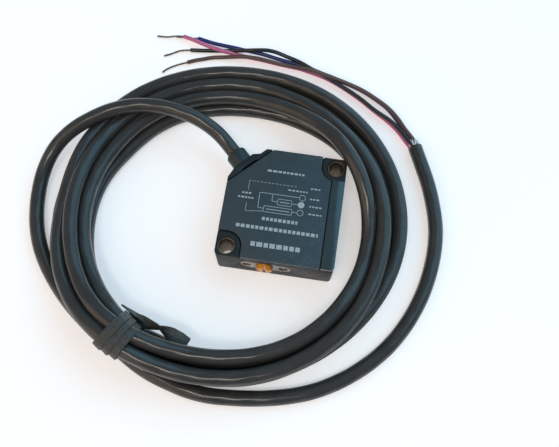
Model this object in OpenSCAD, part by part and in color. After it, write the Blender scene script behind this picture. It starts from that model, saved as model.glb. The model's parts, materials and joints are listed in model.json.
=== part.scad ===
// Square photoelectric sensor with an adjuster, two diagonal mounting holes
// and a coiled four-core lead that leaves one corner on the diagonal.
// Frame: the back face lies on z = 0, the label face looks up (+Z), the
// optical window looks along +X and the adjuster looks along -Y.

/* [Case] */
// Case size along X, from the far side to the optical window
case_w = 34; // [33.5:0.1:34.5]
// Case size along Y, from the adjuster side to the opposite side
case_d = 34; // [33.5:0.1:34.5]
// Case thickness along Z
case_t = 13; // [12.8:0.1:13.6]
// Thickness of the side walls
wall = 1.6; // [1.4:0.1:1.7]
// Thickness of the back wall
floor_t = 1.5; // [1.2:0.1:1.6]
// Thickness of the label cover
cover_t = 1.4; // [1.2:0.1:1.5]
// Width of the shadow gap around the label cover
gap = 0.35; // [0.2:0.05:0.5]

/* [Mounting] */
// Distance between the two mounting holes, along X and along Y
hole_pitch = 28; // [27.6:0.1:28]
// Bore of the metal mounting sleeves
sleeve_id = 4.3; // [4.2:0.05:4.4]
// Outer diameter of the metal mounting sleeves
sleeve_od = 5; // [4.9:0.1:5.2]
// How far the corner pads sit below the label cover
pad_drop = 0.5; // [0.3:0.1:0.8]

/* [Adjuster] */
// Diameter of the adjuster knob
knob_d = 4.6; // [4.4:0.1:4.7]
// How far the knob stands out of the side
knob_out = 1.2; // [0.8:0.1:1.5]
// Position of the knob's axis along X
knob_x = -2.6; // [-2.8:0.1:-2.4]
// Width of the screwdriver slot
slot_w = 0.8; // [0.6:0.1:1]
// Length of the oval indicator panel
panel_l = 14.8; // [14.4:0.1:15]
// Height of the oval indicator panel
panel_h = 5.8; // [5.6:0.1:6]

/* [Lead] */
// Outer diameter of the lead's jacket
lead_d = 4.4; // [4.2:0.1:4.4]
// Diameter of one core wire over its insulation
core_d = 1.3; // [1.2:0.05:1.35]
// Height of the coil of lead
coil_h = 9.6; // [9:0.1:10.5]

/* [Hidden] */
$fn = 48;

hw = case_w/2;
hd = case_d/2;
hp = hole_pitch/2;
zm = 6.5;                       // height of the adjuster, window and lead axis
cover_z = case_t - cover_t;     // where the label cover starts
pad_z = case_t - pad_drop;      // top of the corner pads
pad_r = 4.35;                   // radius of the pads around the holes
strip_x = 12.9;                 // inner edge of the optical window on top
strip_y = 10.2;                 // upper end of the optical window
board_z = 3.2;
board_t = 1.0;
bt = board_z + board_t;         // top of the main board
knob_bore = knob_d + 0.2;

function arc(cx, cy, r, a0, a1, n) =
    [for (i = [0:n]) [cx + r*cos(a0 + (a1 - a0)*i/n), cy + r*sin(a0 + (a1 - a0)*i/n)]];
function unit(v) = v/norm(v);

// ---------------------------------------------------------------- case
// Outline of the case seen from the label side: three small corner radii
// and a cut corner where the lead leaves.
function case_outline(e = 0) = concat(
    arc(-hw + 1.3, -hd + 1.3, 1.3 - e, 180, 270, 6),
    arc(hw - 1.3, -hd + 1.3, 1.3 - e, 270, 360, 6),
    arc(hw - 1.3, hd - 1.3, 1.3 - e, 0, 90, 6),
    [[-7.0, hd - e], [-8.8 + e, 15.2 - e], [-10.9 + e, 14.8 - e],
     [-14.6 + e, 11.1 - e], [-15.7 + e, 9.4 - e], [-hw + e, 6.6]]);

// Outline of the label cover: the case's outline less the two hole pads,
// the window strip and the lead corner.
function cover_outline(e = 0) = concat(
    [[-hw + e, -hp + pad_r + e]],
    arc(-hp, -hp, pad_r + e, 90, 0, 8),
    [[-hp + pad_r + e, -hd + e], [strip_x - e, -hd + e]],
    arc(hp, hp, pad_r + e, 256, 180, 8),
    [[hp - pad_r - e, hd - e], [-4.9 + e*0.4, hd - e], [-hw + e, 4.9 - e*0.4]]);

module inner_room(x1 = 15.4) {
    polygon([[-hw + wall, -9.2], [-9.2, -9.2], [-9.2, -hd + wall], [x1, -hd + wall],
             [x1, 9.2], [9.2, 9.2], [9.2, hd - wall], [-5.6, hd - wall],
             [-7.4, 13.4], [-9.9, 13.1], [-12.8, 10.2], [-13.7, 8.4], [-hw + wall, 5.8]]);
}

module obround(l, h) {
    union() {
        square([l - h, h], center = true);
        translate([-(l - h)/2, 0]) circle(d = h);
        translate([(l - h)/2, 0]) circle(d = h);
    }
}

// places 2D shapes on the adjuster side, extruded from y0 to y1
module on_side(x, y0, y1) {
    translate([x, y1, zm]) rotate([90, 0, 0]) linear_extrude(y1 - y0) children();
}

// places shapes on the diagonal axis of the lead, z along the way out
module on_lead(s) {
    translate([-s/sqrt(2), s/sqrt(2), zm]) rotate([0, 0, 135]) rotate([0, 90, 0]) children();
}

module main_case() color([0.13, 0.16, 0.18]) difference() {
    union() {
        linear_extrude(cover_z) polygon(case_outline());
        // pads around the mounting holes and the lead corner stand up to the cover
        intersection() {
            linear_extrude(pad_z) polygon(case_outline());
            union() {
                translate([-hp, -hp, 0]) cylinder(h = 20, r = pad_r - gap);
                translate([-hw - 1, -hd - 1, 0]) cube([hw - hp + 1, hd - hp + 1 + pad_r - gap, 20]);
                translate([-hw - 1, -hd - 1, 0]) cube([hw - hp + 1 + pad_r - gap, hd - hp + 1, 20]);
                translate([hp, hp, 0]) cylinder(h = 20, r = pad_r - gap);
                translate([hp, strip_y + 0.05, 0]) cube([5, 8, 20]);
                translate([hp - pad_r + gap, hp, 0]) cube([8, 5, 20]);
            }
        }
        intersection() {
            linear_extrude(case_t - 0.15) polygon(case_outline());
            linear_extrude(20) polygon([[-hw - 1, 4.9 + gap*1.4 - 1], [-4.9 - gap*1.4 + 1, hd + 1], [-20, hd + 1]]);
        }
    }
    // room inside
    translate([0, 0, floor_t]) linear_extrude(20) inner_room();
    // open front that the optical window closes
    translate([hw - 1.6, -16.15, 1.15]) cube([5, strip_y + 16.15, 20]);
    translate([strip_x + 0.25, -hd - 1, cover_z]) cube([6, strip_y + hd + 1, 20]);
    // holes for the mounting sleeves
    for (s = [-1, 1]) translate([s*hp, s*hp, -1]) {
        cylinder(h = 20, d = sleeve_od);
        translate([0, 0, pad_z + 0.65]) cylinder(h = 0.36, d1 = sleeve_od, d2 = sleeve_od + 0.7);
    }
    // adjuster bore, lamp holes and the recess of the indicator panel
    on_side(knob_x, -hd - 1, -hd + 3) circle(d = knob_bore);
    on_side(knob_x - 5.2, -hd - 1, -hd + 3) circle(d = 2.6);
    on_side(knob_x + 5.4, -hd - 1, -hd + 3) circle(d = 2.6);
    on_side(knob_x + 0.3, -hd - 1, -hd + 0.8) obround(panel_l + 0.1, panel_h + 0.1);
    // bore and seat of the cable boot
    on_lead(12) cylinder(h = 12, d = 5.4);
}

// posts under the main board, part of the same moulding
module board_posts() {
    for (p = [[-12.4, -6.5], [3.6, -12.6], [3.6, 12.6], [-6.6, 9.0]])
        translate([p[0], p[1], floor_t]) cylinder(h = board_z - floor_t, d = 2.4);
}

module label_cover() color([0.15, 0.18, 0.21]) union() {
    translate([0, 0, cover_z]) linear_extrude(cover_t)
        polygon(cover_outline(0.02));
    // lip that locates the cover inside the walls
    translate([0, 0, cover_z - 0.9]) linear_extrude(1.0) difference() {
        polygon([[-15.25, -9.0], [-9.0, -9.0], [-9.0, -15.25], [12.4, -15.25], [12.4, 9.0],
                 [9.0, 9.0], [9.0, 15.25], [-5.05, 15.25], [-15.25, 5.05]]);
        polygon([[-14.45, -8.2], [-8.2, -8.2], [-8.2, -14.45], [11.6, -14.45], [11.6, 8.2],
                 [8.2, 8.2], [8.2, 14.45], [-4.75, 14.45], [-14.45, 4.75]]);
    }
}

// Smoked window: a plate over the front that folds over the top edge.
module optical_window() color([0.07, 0.12, 0.14]) difference() {
    union() {
        translate([hw - 1.5, -16.1, 1.2]) cube([1.5, strip_y - 0.05 + 16.1, case_t - 0.2 - 1.2]);
        translate([strip_x + 0.3, -hd + 0.02, cover_z + 0.05])
            cube([hw - strip_x - 0.3, strip_y - 0.05 + hd - 0.02, cover_t - 0.25]);
    }
    // edge radius at the lower corner of the case
    difference() {
        translate([hw - 1.3, -hd - 1, -1]) cube([3, 2.3, 30]);
        translate([hw - 1.3, -hd + 1.3, -2]) cylinder(h = 40, r = 1.3);
    }
}

module indicator_window() color([0.34, 0.32, 0.29]) difference() {
    on_side(knob_x + 0.3, -hd + 0.05, -hd + 0.8) obround(panel_l, panel_h);
    on_side(knob_x, -hd - 1, -hd + 2) circle(d = knob_bore + 0.2);
    on_side(knob_x - 5.2, -hd - 1, -hd + 2) circle(d = 2.6);
    on_side(knob_x + 5.4, -hd - 1, -hd + 2) circle(d = 2.6);
}

module mounting_sleeves() color([0.62, 0.58, 0.48])
    for (s = [-1, 1]) translate([s*hp, s*hp, 0]) difference() {
        cylinder(h = pad_z - 0.4, d = sleeve_od);
        translate([0, 0, -1]) cylinder(h = 20, d = sleeve_id);
    }

// ------------------------------------------------------------- optics
em_y = 4.4;    // emitter axis
re_y = -7.8;   // receiver axis
oz = 6.2;      // height of both optical axes

module along_x(x0, y, z = oz) { translate([x0, y, z]) rotate([0, 90, 0]) children(); }

module lens_holder() color([0.05, 0.05, 0.06]) difference() {
    translate([8.9, -15.2, floor_t + 0.1]) cube([6.4, 24.1, 9.0]);
    along_x(13.3, em_y) cylinder(h = 3, d = 7.6);
    along_x(10.6, em_y) cylinder(h = 4, d = 6.2);
    along_x(8, em_y) cylinder(h = 4, d = 3.4);
    along_x(13.3, re_y) cylinder(h = 3, d = 8.2);
    along_x(10.6, re_y) cylinder(h = 4, d = 6.8);
    along_x(8, re_y) cylinder(h = 4, d = 3.6);
    // slot between the two light paths
    translate([10.4, -2.4, 3.2]) cube([6, 1.2, 6.2]);
}

module lens(d, r) intersection() {
    cylinder(h = 4, d = d);
    union() {
        cylinder(h = 0.6, d = d);
        translate([0, 0, 1.9 - r]) sphere(r = r, $fn = 96);
    }
}
module emitter_lens() color([0.75, 0.8, 0.82]) along_x(13.35, em_y) lens(7.5, 6.6);
module receiver_lens() color([0.75, 0.8, 0.82]) along_x(13.35, re_y) lens(8.1, 7.4);

module optics_board() color([0.05, 0.32, 0.18]) difference() {
    translate([7.6, -14.8, 1.8]) cube([1.0, 23.2, 8.4]);
    along_x(7, -1.8, 9.2) cylinder(h = 3, d = 0.9);
}
module emitter_led() color([0.72, 0.68, 0.85]) along_x(8.6, em_y) union() {
    cylinder(h = 0.7, d = 3.2);
    cylinder(h = 1.0, d = 2.4);
    translate([0, 0, 1.0]) intersection() {
        sphere(r = 1.2, $fn = 32);
        cylinder(h = 3, d = 2.4);
    }
}
module receiver_photodiode() color([0.12, 0.12, 0.16]) union() {
    translate([8.6, re_y - 1.1, oz - 1.1]) cube([0.8, 2.2, 2.2]);
    translate([8.6, re_y - 0.6, oz - 0.6]) cube([1.0, 1.2, 1.2]);
}

// -------------------------------------------------------- electronics
module main_board() color([0.06, 0.36, 0.2]) translate([0, 0, board_z])
    linear_extrude(board_t) difference() {
        polygon([[-15.1, -8.9], [-8.9, -8.9], [-8.9, -14.6], [6.4, -14.6], [6.4, 15.1],
                 [-3.8, 15.1], [-15.1, 3.8]]);
        for (y = [-3:1.5:3]) translate([-13.6, y]) circle(d = 0.8);
    }
module board_pins() color([0.85, 0.72, 0.35])
    for (i = [-2:2]) translate([5.0, 1.5 + i*1.27, bt + 0.25]) rotate([0, 90, 0])
        cylinder(h = 2.55, d = 0.5, $fn = 16);
module control_ic() color([0.08, 0.08, 0.09]) union() {
    translate([-8.6, -0.6, bt + 0.1]) cube([4.4, 5.0, 1.4]);
    for (i = [0:5], s = [0, 1])
        translate([-9.4 + s*5.2, -0.2 + i*0.8, bt]) cube([0.8, 0.4, 0.7]);
}
module output_transistor() color([0.09, 0.09, 0.1]) union() {
    translate([-13.2, -7.6, bt + 0.1]) cube([4.0, 2.6, 1.5]);
    for (i = [0:2]) translate([-12.9 + i*1.4, -5.0, bt]) cube([0.6, 1.0, 0.6]);
    translate([-12.2, -8.4, bt]) cube([2.0, 0.8, 0.6]);
}
module voltage_regulator() color([0.1, 0.1, 0.11]) union() {
    translate([-1.4, 8.6, bt + 0.1]) cube([3.0, 1.7, 1.2]);
    for (i = [0:2]) translate([-1.2 + i*1.1, 7.9, bt]) cube([0.4, 0.7, 0.6]);
    for (i = [0, 2]) translate([-1.2 + i*1.1, 10.3, bt]) cube([0.4, 0.7, 0.6]);
}
module power_capacitor() color([0.75, 0.55, 0.18]) union() {
    translate([-0.4, 3.4, bt + 0.1]) cube([3.6, 2.8, 1.9]);
    translate([-0.7, 4.0, bt]) cube([4.2, 1.6, 0.9]);
}
module chip_parts() color([0.55, 0.5, 0.42])
    for (p = [[-12.6, 3.2], [-12.6, 5.0], [-11.9, -2.4], [-1.0, 6.9], [3.9, 7.0], [-1.0, 0.6],
              [2.4, 0.6], [-2.6, -3.2], [0.2, -3.2], [3.0, -5.4], [3.0, -7.4], [-2.6, 12.6], [0.4, 12.6]])
        translate([p[0], p[1], bt]) cube([1.6, 0.8, 0.6]);

module lamp(x) union() {
    translate([x - 1.3, -14.5, bt]) cube([2.6, 1.6, 3.8]);
    translate([x, -14.4, zm]) rotate([90, 0, 0]) cylinder(h = 1.75, d = 2.4);
    translate([x, -16.15, zm]) rotate([90, 0, 0]) intersection() {
        translate([0, 0, -1.15]) sphere(r = 1.8, $fn = 48);
        cylinder(h = 2, d = 2.4);
    }
}
module operation_led() color([0.24, 0.08, 0.06]) lamp(knob_x - 5.2);
module stability_led() color([0.5, 0.56, 0.4]) lamp(knob_x + 5.4);

// ----------------------------------------------------------- adjuster
module turned(y) { translate([knob_x, y, zm]) rotate([90, 0, 0]) children(); }

module potentiometer_body() color([0.2, 0.3, 0.55]) difference() {
    translate([knob_x - 3.1, -14.85, bt]) cube([6.2, 4.6, 5.3]);
    turned(-12.4) cylinder(h = 4, d = 3.3);
    turned(-11.6) cylinder(h = 4, d = 1.9);
}
module potentiometer_rotor() color([0.9, 0.88, 0.8]) difference() {
    turned(-12.5) cylinder(h = 2.3, d = 3.2);
    turned(-12.9) cylinder(h = 4, d = 1.6);
}
module adjuster_knob() color([0.9, 0.5, 0.08]) difference() {
    union() {
        turned(-15.55) cylinder(h = hd + knob_out - 15.55 - 0.3, d = knob_d);
        turned(-hd - knob_out + 0.3) cylinder(h = 0.3, d1 = knob_d, d2 = knob_d - 0.6);
        turned(-15.0) cylinder(h = 0.3, d = 5.6);
        turned(-15.0) cylinder(h = 0.6, d = 3.6);
        turned(-12.9) cylinder(h = 2.2, d = 1.6);
    }
    // screwdriver slot and the setting notch at one end of it
    translate([knob_x - slot_w/2, -hd - knob_out - 1, zm - 3]) cube([slot_w, 1.8, 6]);
    // groove of the seal
    turned(-15.6) difference() {
        cylinder(h = 0.55, d = knob_d + 1);
        translate([0, 0, -1]) cylinder(h = 3, d = 3.6);
    }
}
module adjuster_seal() color([0.05, 0.05, 0.05]) turned(-15.65) difference() {
    cylinder(h = 0.45, d = knob_d + 0.14);
    translate([0, 0, -1]) cylinder(h = 3, d = 3.6);
}

// --------------------------------------------------------- lead entry
module cable_boot() color([0.1, 0.11, 0.12]) on_lead(0) difference() {
    union() {
        translate([0, 0, 14.7]) cylinder(h = 0.95, d = 5.9);
        translate([0, 0, 15.6]) cylinder(h = 2.8, d = 5.4);
        translate([0, 0, 18.25]) cylinder(h = 0.65, d = 5.9);
        translate([0, 0, 18.9]) cylinder(h = 4.5, d = 6.4);
        translate([0, 0, 23.4]) cylinder(h = 0.5, d1 = 6.4, d2 = 5.6);
    }
    translate([0, 0, 10]) cylinder(h = 20, d = lead_d + 0.02);
}
module cable_clamp() color([0.75, 0.75, 0.72]) on_lead(0) difference() {
    translate([0, 0, 13.5]) cylinder(h = 1.1, d = 5.8);
    translate([0, 0, 10]) cylinder(h = 20, d = lead_d + 0.02);
}

module rod(a, b, d) {
    v = b - a;
    translate(a) rotate([0, acos(v[2]/norm(v)), atan2(v[1], v[0])]) cylinder(h = norm(v), d = d, $fn = 16);
}
// ---------------------------------------------------------- free lead
// One tube through the points p: a ring of n corners on every point.
function way(p, i) = unit(p[min(i + 1, len(p) - 1)] - p[max(i - 1, 0)]);
function aside(t) = unit(cross([0, 0, 1], t));
function ring(c, t, r, n) = [for (k = [0:n - 1])
    c + r*cos(360*k/n)*aside(t) + r*sin(360*k/n)*cross(t, aside(t))];
module tube(p, d, n) {
    m = len(p);
    polyhedron(
        points = [for (i = [0:m - 1]) each ring(p[i], way(p, i), d/2, n)],
        faces = concat(
            [[for (k = [0:n - 1]) k]],
            [[for (k = [n - 1:-1:0]) (m - 1)*n + k]],
            [for (i = [0:m - 2], k = [0:n - 1]) [i*n + k, (i + 1)*n + k, (i + 1)*n + (k + 1)%n]],
            [for (i = [0:m - 2], k = [0:n - 1]) [i*n + k, (i + 1)*n + (k + 1)%n, i*n + (k + 1)%n]]));
}

// four short leads from the lead's inner end down to the board
module inner_leads() color([0.55, 0.35, 0.2])
    for (i = [0:3]) {
        o = (i - 1.5)*0.95;
        tube([[-9.45 + o*0.5, 9.45 + o*0.5, zm + (i % 2 == 0 ? 0.6 : -0.6)],
              [-8.3 + o*0.9, 8.7 + o*0.6, zm - (i % 2 == 0 ? 0 : 0.4)],
              [-7.3 + o*1.3, 8.1 + o*0.7, zm - 0.7],
              [-6.9 + o*1.4, 7.9 + o*0.7, bt + 0.25]], 0.9, 8);
    }

// from inside the case, out on the diagonal, over the coil, down its far
// side and into the tied bundle
start_route = [[-9.5, 9.5, 6.5], [-14, 14, 6.5], [-18.8, 18.7, 6.8], [-21.3, 20.9, 7.7], [-24, 22.5, 8.7],
    [-27, 24, 9.8], [-30.5, 25, 10.7], [-35, 26, 11.3], [-41.5, 26.7, 11.6], [-48, 26, 11.6],
    [-54.5, 24.2, 11.2], [-60.5, 21, 10.2], [-66.8, 16.6, 8.4], [-71.5, 11.2, 6], [-74, 3.6, 3.6],
    [-74, -4.5, 2.4], [-72.4, -12.6, 2.2], [-69, -20.3, 2.2], [-64, -27.5, 2.4], [-57, -34.3, 3.4],
    [-50, -40.2, 4.9]];
// out of the tied bundle, round the coil, to the cut end of the jacket
end_route = [[-39.5, -48.5, 2.4], [-32, -51.5, 2.2], [-23.5, -53.5, 2.2], [-15, -54.5, 2.2], [-6, -54.2, 2.2],
    [5, -52.6, 2.2], [16, -49.2, 2.2], [26.5, -42.8, 2.2], [35.5, -33.8, 2.2], [42, -22.4, 2.2],
    [45.6, -10, 2.2], [46.3, 3, 2.2], [43.2, 16.5, 2.2], [40.6, 23, 2.2], [37.8, 29.5, 2.2]];
pink_route = [[37.1, 29.2, 1.5], [36, 31.4, 1.2], [33, 33.7, 0.8], [28.5, 36.9, 0.7], [23.5, 40.2, 0.7],
    [16, 44, 0.7], [8, 48, 0.9], [1, 51.2, 1.9], [-5, 53.6, 2], [-13, 55.1, 0.8], [-22.5, 55, 0.7],
    [-30, 55.9, 2], [-36.7, 57.8, 1.2], [-41.4, 59.2, 0.7]];
black_route = [[37.1, 29.2, 2.9], [35.8, 32.8, 1.9], [32.6, 35.9, 0.8], [26.8, 40, 0.7], [17.6, 45.1, 0.7],
    [8.2, 49.9, 1.3], [3, 52.6, 2.8], [-3, 55, 3.3], [-9.8, 57.7, 1.3], [-15, 58.1, 0.7],
    [-21.6, 56.9, 0.7], [-30.5, 55.3, 0.7], [-38.6, 54.3, 0.7]];
blue_route = [[38.5, 29.8, 2.9], [37.2, 33.4, 2.2], [33.6, 37.2, 0.9], [28.6, 41.4, 0.7], [21.6, 45.4, 1],
    [12.4, 49.4, 0.9], [6, 51.5, 1.8], [1, 53.2, 2], [-7.7, 55.2, 0.9], [-15, 56.6, 0.8],
    [-21.7, 57, 2], [-29.3, 58, 1], [-36.7, 59.1, 0.7]];
brown_route = [[38.5, 29.8, 1.5], [38.2, 33, 0.8], [35, 38, 0.7], [29.6, 42.4, 0.7], [22.2, 46.7, 0.7],
    [12.6, 50.7, 0.7], [4, 52.4, 0.7], [-4, 53.3, 0.7], [-14.5, 53.6, 0.7], [-24.6, 53.3, 0.7],
    [-31.8, 52.1, 0.7], [-38.8, 49.3, 0.7]];

module cable_start() color([0.1, 0.12, 0.13]) tube(start_route, lead_d, 12);
module cable_end() color([0.1, 0.12, 0.13]) tube(end_route, lead_d, 12);
module wire_pink() color([0.9, 0.45, 0.65]) tube(pink_route, core_d, 8);
module wire_black() color([0.08, 0.08, 0.09]) tube(black_route, core_d, 8);
module wire_blue() color([0.12, 0.18, 0.5]) tube(blue_route, core_d, 8);
module wire_brown() color([0.35, 0.2, 0.13]) tube(brown_route, core_d, 8);
module bare_ends() color([0.7, 0.55, 0.42]) union() {
    rod([-41.4, 59.2, 0.7], [-46.6, 58.6, 0.5], 0.7);
    rod([-38.6, 54.3, 0.7], [-43.6, 52.6, 0.5], 0.7);
    rod([-36.7, 59.1, 0.7], [-41.6, 60.6, 0.5], 0.7);
    rod([-38.8, 49.3, 0.7], [-43.2, 46.4, 0.5], 0.7);
}

// the wound turns as one ring, a little thicker on the side away from the tie
coil_out = [-15.2, -1.6, 51.0];
coil_in = [-15.8, -5.3, 39.4];
module cable_coil() color([0.1, 0.12, 0.13]) difference() {
    translate([coil_out[0], coil_out[1], 0]) cylinder(h = coil_h, r = coil_out[2], $fn = 120);
    translate([coil_in[0], coil_in[1], -1]) cylinder(h = coil_h + 2, r = coil_in[2], $fn = 120);
}

tie_a = 238.5;    // where round the coil the tie sits
tie_r = 46.2;     // distance of the bundle's middle from the coil's middle
function rounded(w, h, r) = concat(
    arc(w/2 - r, h/2 - r, r, 0, 90, 6), arc(-w/2 + r, h/2 - r, r, 90, 180, 6),
    arc(-w/2 + r, -h/2 + r, r, 180, 270, 6), arc(w/2 - r, -h/2 + r, r, 270, 360, 6));
module twist_tie() color([0.13, 0.13, 0.14]) union() {
    translate([-15.3 + tie_r*cos(tie_a), -3.2 + tie_r*sin(tie_a), 6.2])
        rotate([90, 0, tie_a]) translate([0, 0, -3.6]) linear_extrude(7.2) difference() {
            polygon(rounded(14, 12.4, 4));
            polygon(rounded(12.6, 11, 3.4));
        }
    translate([0, 0, 7]) linear_extrude(0.7) union() {
        polygon([[-39.2, -37.4], [-34, -36.4], [-28.4, -38.2], [-25.7, -37.6], [-19.6, -40.4],
                 [-20.8, -42.2], [-25, -41.8], [-28.6, -39.2], [-33.5, -38.2], [-38.4, -39]]);
        polygon([[-40, -34.3], [-39.4, -35.2], [-34.6, -38], [-33.6, -37]]);
    }
}

union() { main_case(); color([0.13, 0.16, 0.18]) board_posts(); }
label_cover();
optical_window();
indicator_window();
mounting_sleeves();
lens_holder();
emitter_lens();
receiver_lens();
optics_board();
emitter_led();
receiver_photodiode();
main_board();
board_pins();
control_ic();
output_transistor();
voltage_regulator();
power_capacitor();
chip_parts();
operation_led();
stability_led();
potentiometer_body();
potentiometer_rotor();
adjuster_knob();
adjuster_seal();
cable_boot();
cable_clamp();
inner_leads();
cable_start();
cable_coil();
cable_end();
wire_brown();
wire_black();
wire_blue();
wire_pink();
bare_ends();
twist_tie();
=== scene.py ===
import itertools
import json
import math

import bmesh
import bpy
import numpy as np
from mathutils import Matrix, Vector

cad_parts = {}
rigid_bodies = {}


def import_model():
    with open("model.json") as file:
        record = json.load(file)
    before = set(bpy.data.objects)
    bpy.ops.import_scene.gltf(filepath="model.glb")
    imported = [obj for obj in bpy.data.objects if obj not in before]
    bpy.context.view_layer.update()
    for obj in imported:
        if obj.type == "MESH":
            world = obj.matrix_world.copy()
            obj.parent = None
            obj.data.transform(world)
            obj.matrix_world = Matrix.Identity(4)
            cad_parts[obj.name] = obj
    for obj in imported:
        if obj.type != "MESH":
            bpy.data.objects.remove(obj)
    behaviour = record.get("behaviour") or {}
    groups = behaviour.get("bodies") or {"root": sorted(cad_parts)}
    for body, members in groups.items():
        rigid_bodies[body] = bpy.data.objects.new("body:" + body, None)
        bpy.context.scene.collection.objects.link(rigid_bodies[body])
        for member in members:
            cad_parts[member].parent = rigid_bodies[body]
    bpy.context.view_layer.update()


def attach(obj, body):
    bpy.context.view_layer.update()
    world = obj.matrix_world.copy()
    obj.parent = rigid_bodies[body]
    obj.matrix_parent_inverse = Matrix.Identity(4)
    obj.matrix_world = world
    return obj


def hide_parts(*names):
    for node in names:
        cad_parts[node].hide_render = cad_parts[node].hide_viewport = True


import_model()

MM = 0.001
scene = bpy.context.scene
nodes = bpy.data.objects
rng = np.random.default_rng(7)

# ------------------------------------------------------------------ camera
cam_data = bpy.data.cameras.new("camera")
cam = bpy.data.objects.new("camera", cam_data)
scene.collection.objects.link(cam)
cam_data.sensor_fit = "HORIZONTAL"
cam_data.sensor_width = 36.0
cam_data.lens = 680 / 559 * 36.0
cam_data.clip_start, cam_data.clip_end = 0.005, 20
axes = Matrix(((0.9891, -0.1421, 0.0381), (0.1468, 0.9358, -0.3204), (0.0099, 0.3225, 0.9465)))
cam.matrix_world = Matrix.Translation(Vector((0.00734, -0.06737, 0.19576))) @ axes.to_quaternion().to_matrix().to_4x4()
scene.camera = cam


# --------------------------------------------------------------- materials
class Mat:
    """A node material. Points are in metres, so noise scales are cycles per metre."""

    def __init__(self, name):
        self.m = bpy.data.materials.new(name)
        self.m.use_nodes = True
        self.t = self.m.node_tree
        self.t.nodes.clear()
        self.out = self.t.nodes.new("ShaderNodeOutputMaterial")
        self.b = self.t.nodes.new("ShaderNodeBsdfPrincipled")
        self.t.links.new(self.b.outputs[0], self.out.inputs[0])
        self.co = self.t.nodes.new("ShaderNodeTexCoord").outputs["Object"]

    def n(self, kind, **props):
        x = self.t.nodes.new("ShaderNode" + kind)
        for k, v in props.items():
            setattr(x, k, v)
        return x

    def put(self, socket, value):
        if isinstance(value, bpy.types.NodeSocket):
            self.t.links.new(value, socket)
        elif hasattr(socket.default_value, "__len__") and not isinstance(value, (int, float)):
            socket.default_value = tuple(value) + ((1.0,) if len(socket.default_value) == 4 and len(value) == 3 else ())
        else:
            socket.default_value = value

    def noise(self, scale, detail=3.0, rough=0.55, stretch=None, co=None, distortion=0.0):
        co = co or self.co
        if stretch:
            mp = self.n("Mapping")
            mp.inputs["Scale"].default_value = stretch
            self.put(mp.inputs["Vector"], co)
            co = mp.outputs[0]
        x = self.n("TexNoise")
        self.put(x.inputs["Vector"], co)
        x.inputs["Scale"].default_value = scale
        x.inputs["Detail"].default_value = detail
        x.inputs["Roughness"].default_value = rough
        x.inputs["Distortion"].default_value = distortion
        return x.outputs[0]

    def math(self, op, a, b=0.0, c=0.0):
        x = self.n("Math", operation=op)
        for i, v in enumerate((a, b, c)):
            self.put(x.inputs[i], v)
        return x.outputs[0]

    def rng(self, v, a, b, lo=0.0, hi=1.0):
        x = self.n("MapRange")
        for i, k in enumerate((v, lo, hi, a, b)):
            self.put(x.inputs[i], k)
        return x.outputs[0]

    def mix(self, f, a, b, blend="MIX"):
        x = self.n("Mix", data_type="RGBA", blend_type=blend)
        self.put(x.inputs[0], f)
        self.put(x.inputs[6], a)
        self.put(x.inputs[7], b)
        return x.outputs[2]

    def bump(self, height, strength, distance, normal=None):
        x = self.n("Bump")
        x.inputs["Strength"].default_value = strength
        x.inputs["Distance"].default_value = distance
        self.put(x.inputs["Height"], height)
        if normal is not None:
            self.put(x.inputs["Normal"], normal)
        return x.outputs[0]

    def set(self, **k):
        names = dict(color="Base Color", rough="Roughness", metal="Metallic", normal="Normal", ior="IOR",
                     spec="Specular IOR Level", coat="Coat Weight", coat_rough="Coat Roughness",
                     trans="Transmission Weight", sss="Subsurface Weight", sss_r="Subsurface Radius",
                     sss_s="Subsurface Scale", emit="Emission Color", emit_s="Emission Strength",
                     sheen="Sheen Weight", tint="Specular Tint", alpha="Alpha", aniso="Anisotropic")
        for key, v in k.items():
            self.put(self.b.inputs[names[key]], v)
        return self.m


def plastic(name, color, rough=0.45, rv=0.06, cv=0.12, grain=5200, depth=0.00003, strength=0.35, spec=0.5,
            coat=0.0, mottle=260, wear=0.0, dust=0.0, **more):
    """Moulded plastic: mottled colour, fine spark-eroded grain, uneven gloss, rubbed edges."""
    m = Mat(name)
    a = m.noise(mottle, 4)
    fine = m.noise(grain, 2, 0.6)
    dark = [c * (1 - cv) for c in color]
    light = [min(1, c * (1 + cv)) for c in color]
    col = m.mix(m.rng(a, 0, 1, 0.3, 0.7), dark, light)
    rough_v = m.rng(m.noise(mottle * 2.3, 5), rough - rv, rough + rv, 0.3, 0.7)
    if wear:
        geo = m.n("NewGeometry")
        edge = m.rng(geo.outputs["Pointiness"], 0, 1, 0.53, 0.60)
        edge = m.math("MULTIPLY", edge, m.rng(m.noise(1400, 4), 0, 1, 0.42, 0.62))
        col = m.mix(m.math("MULTIPLY", edge, wear), col, [min(1, c * 2.4 + 0.02) for c in color])
    if dust:
        d = m.math("MULTIPLY", m.rng(m.noise(2600, 3, 0.7), 0, 1, 0.62, 0.80), dust)
        col = m.mix(d, col, (0.35, 0.35, 0.34))
    nrm = m.bump(fine, strength, depth)
    nrm = m.bump(m.noise(420, 2), 0.08, 0.0002, nrm)
    return m.set(color=col, rough=rough_v, normal=nrm, spec=spec, coat=coat, **more)


def metal(name, color, rough=0.3, brush=None, cv=0.15, bump=0.25):
    m = Mat(name)
    a = m.noise(900, 4, 0.6, stretch=brush)
    col = m.mix(m.rng(a, 0, 1, 0.3, 0.7), [c * (1 - cv) for c in color], [min(1, c * (1 + cv)) for c in color])
    r = m.rng(m.noise(2400, 4, 0.6, stretch=brush), rough * 0.75, rough * 1.3, 0.3, 0.7)
    return m.set(color=col, rough=r, metal=1.0, normal=m.bump(m.noise(5000, 3, 0.6, stretch=brush), bump, 0.00002))


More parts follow.
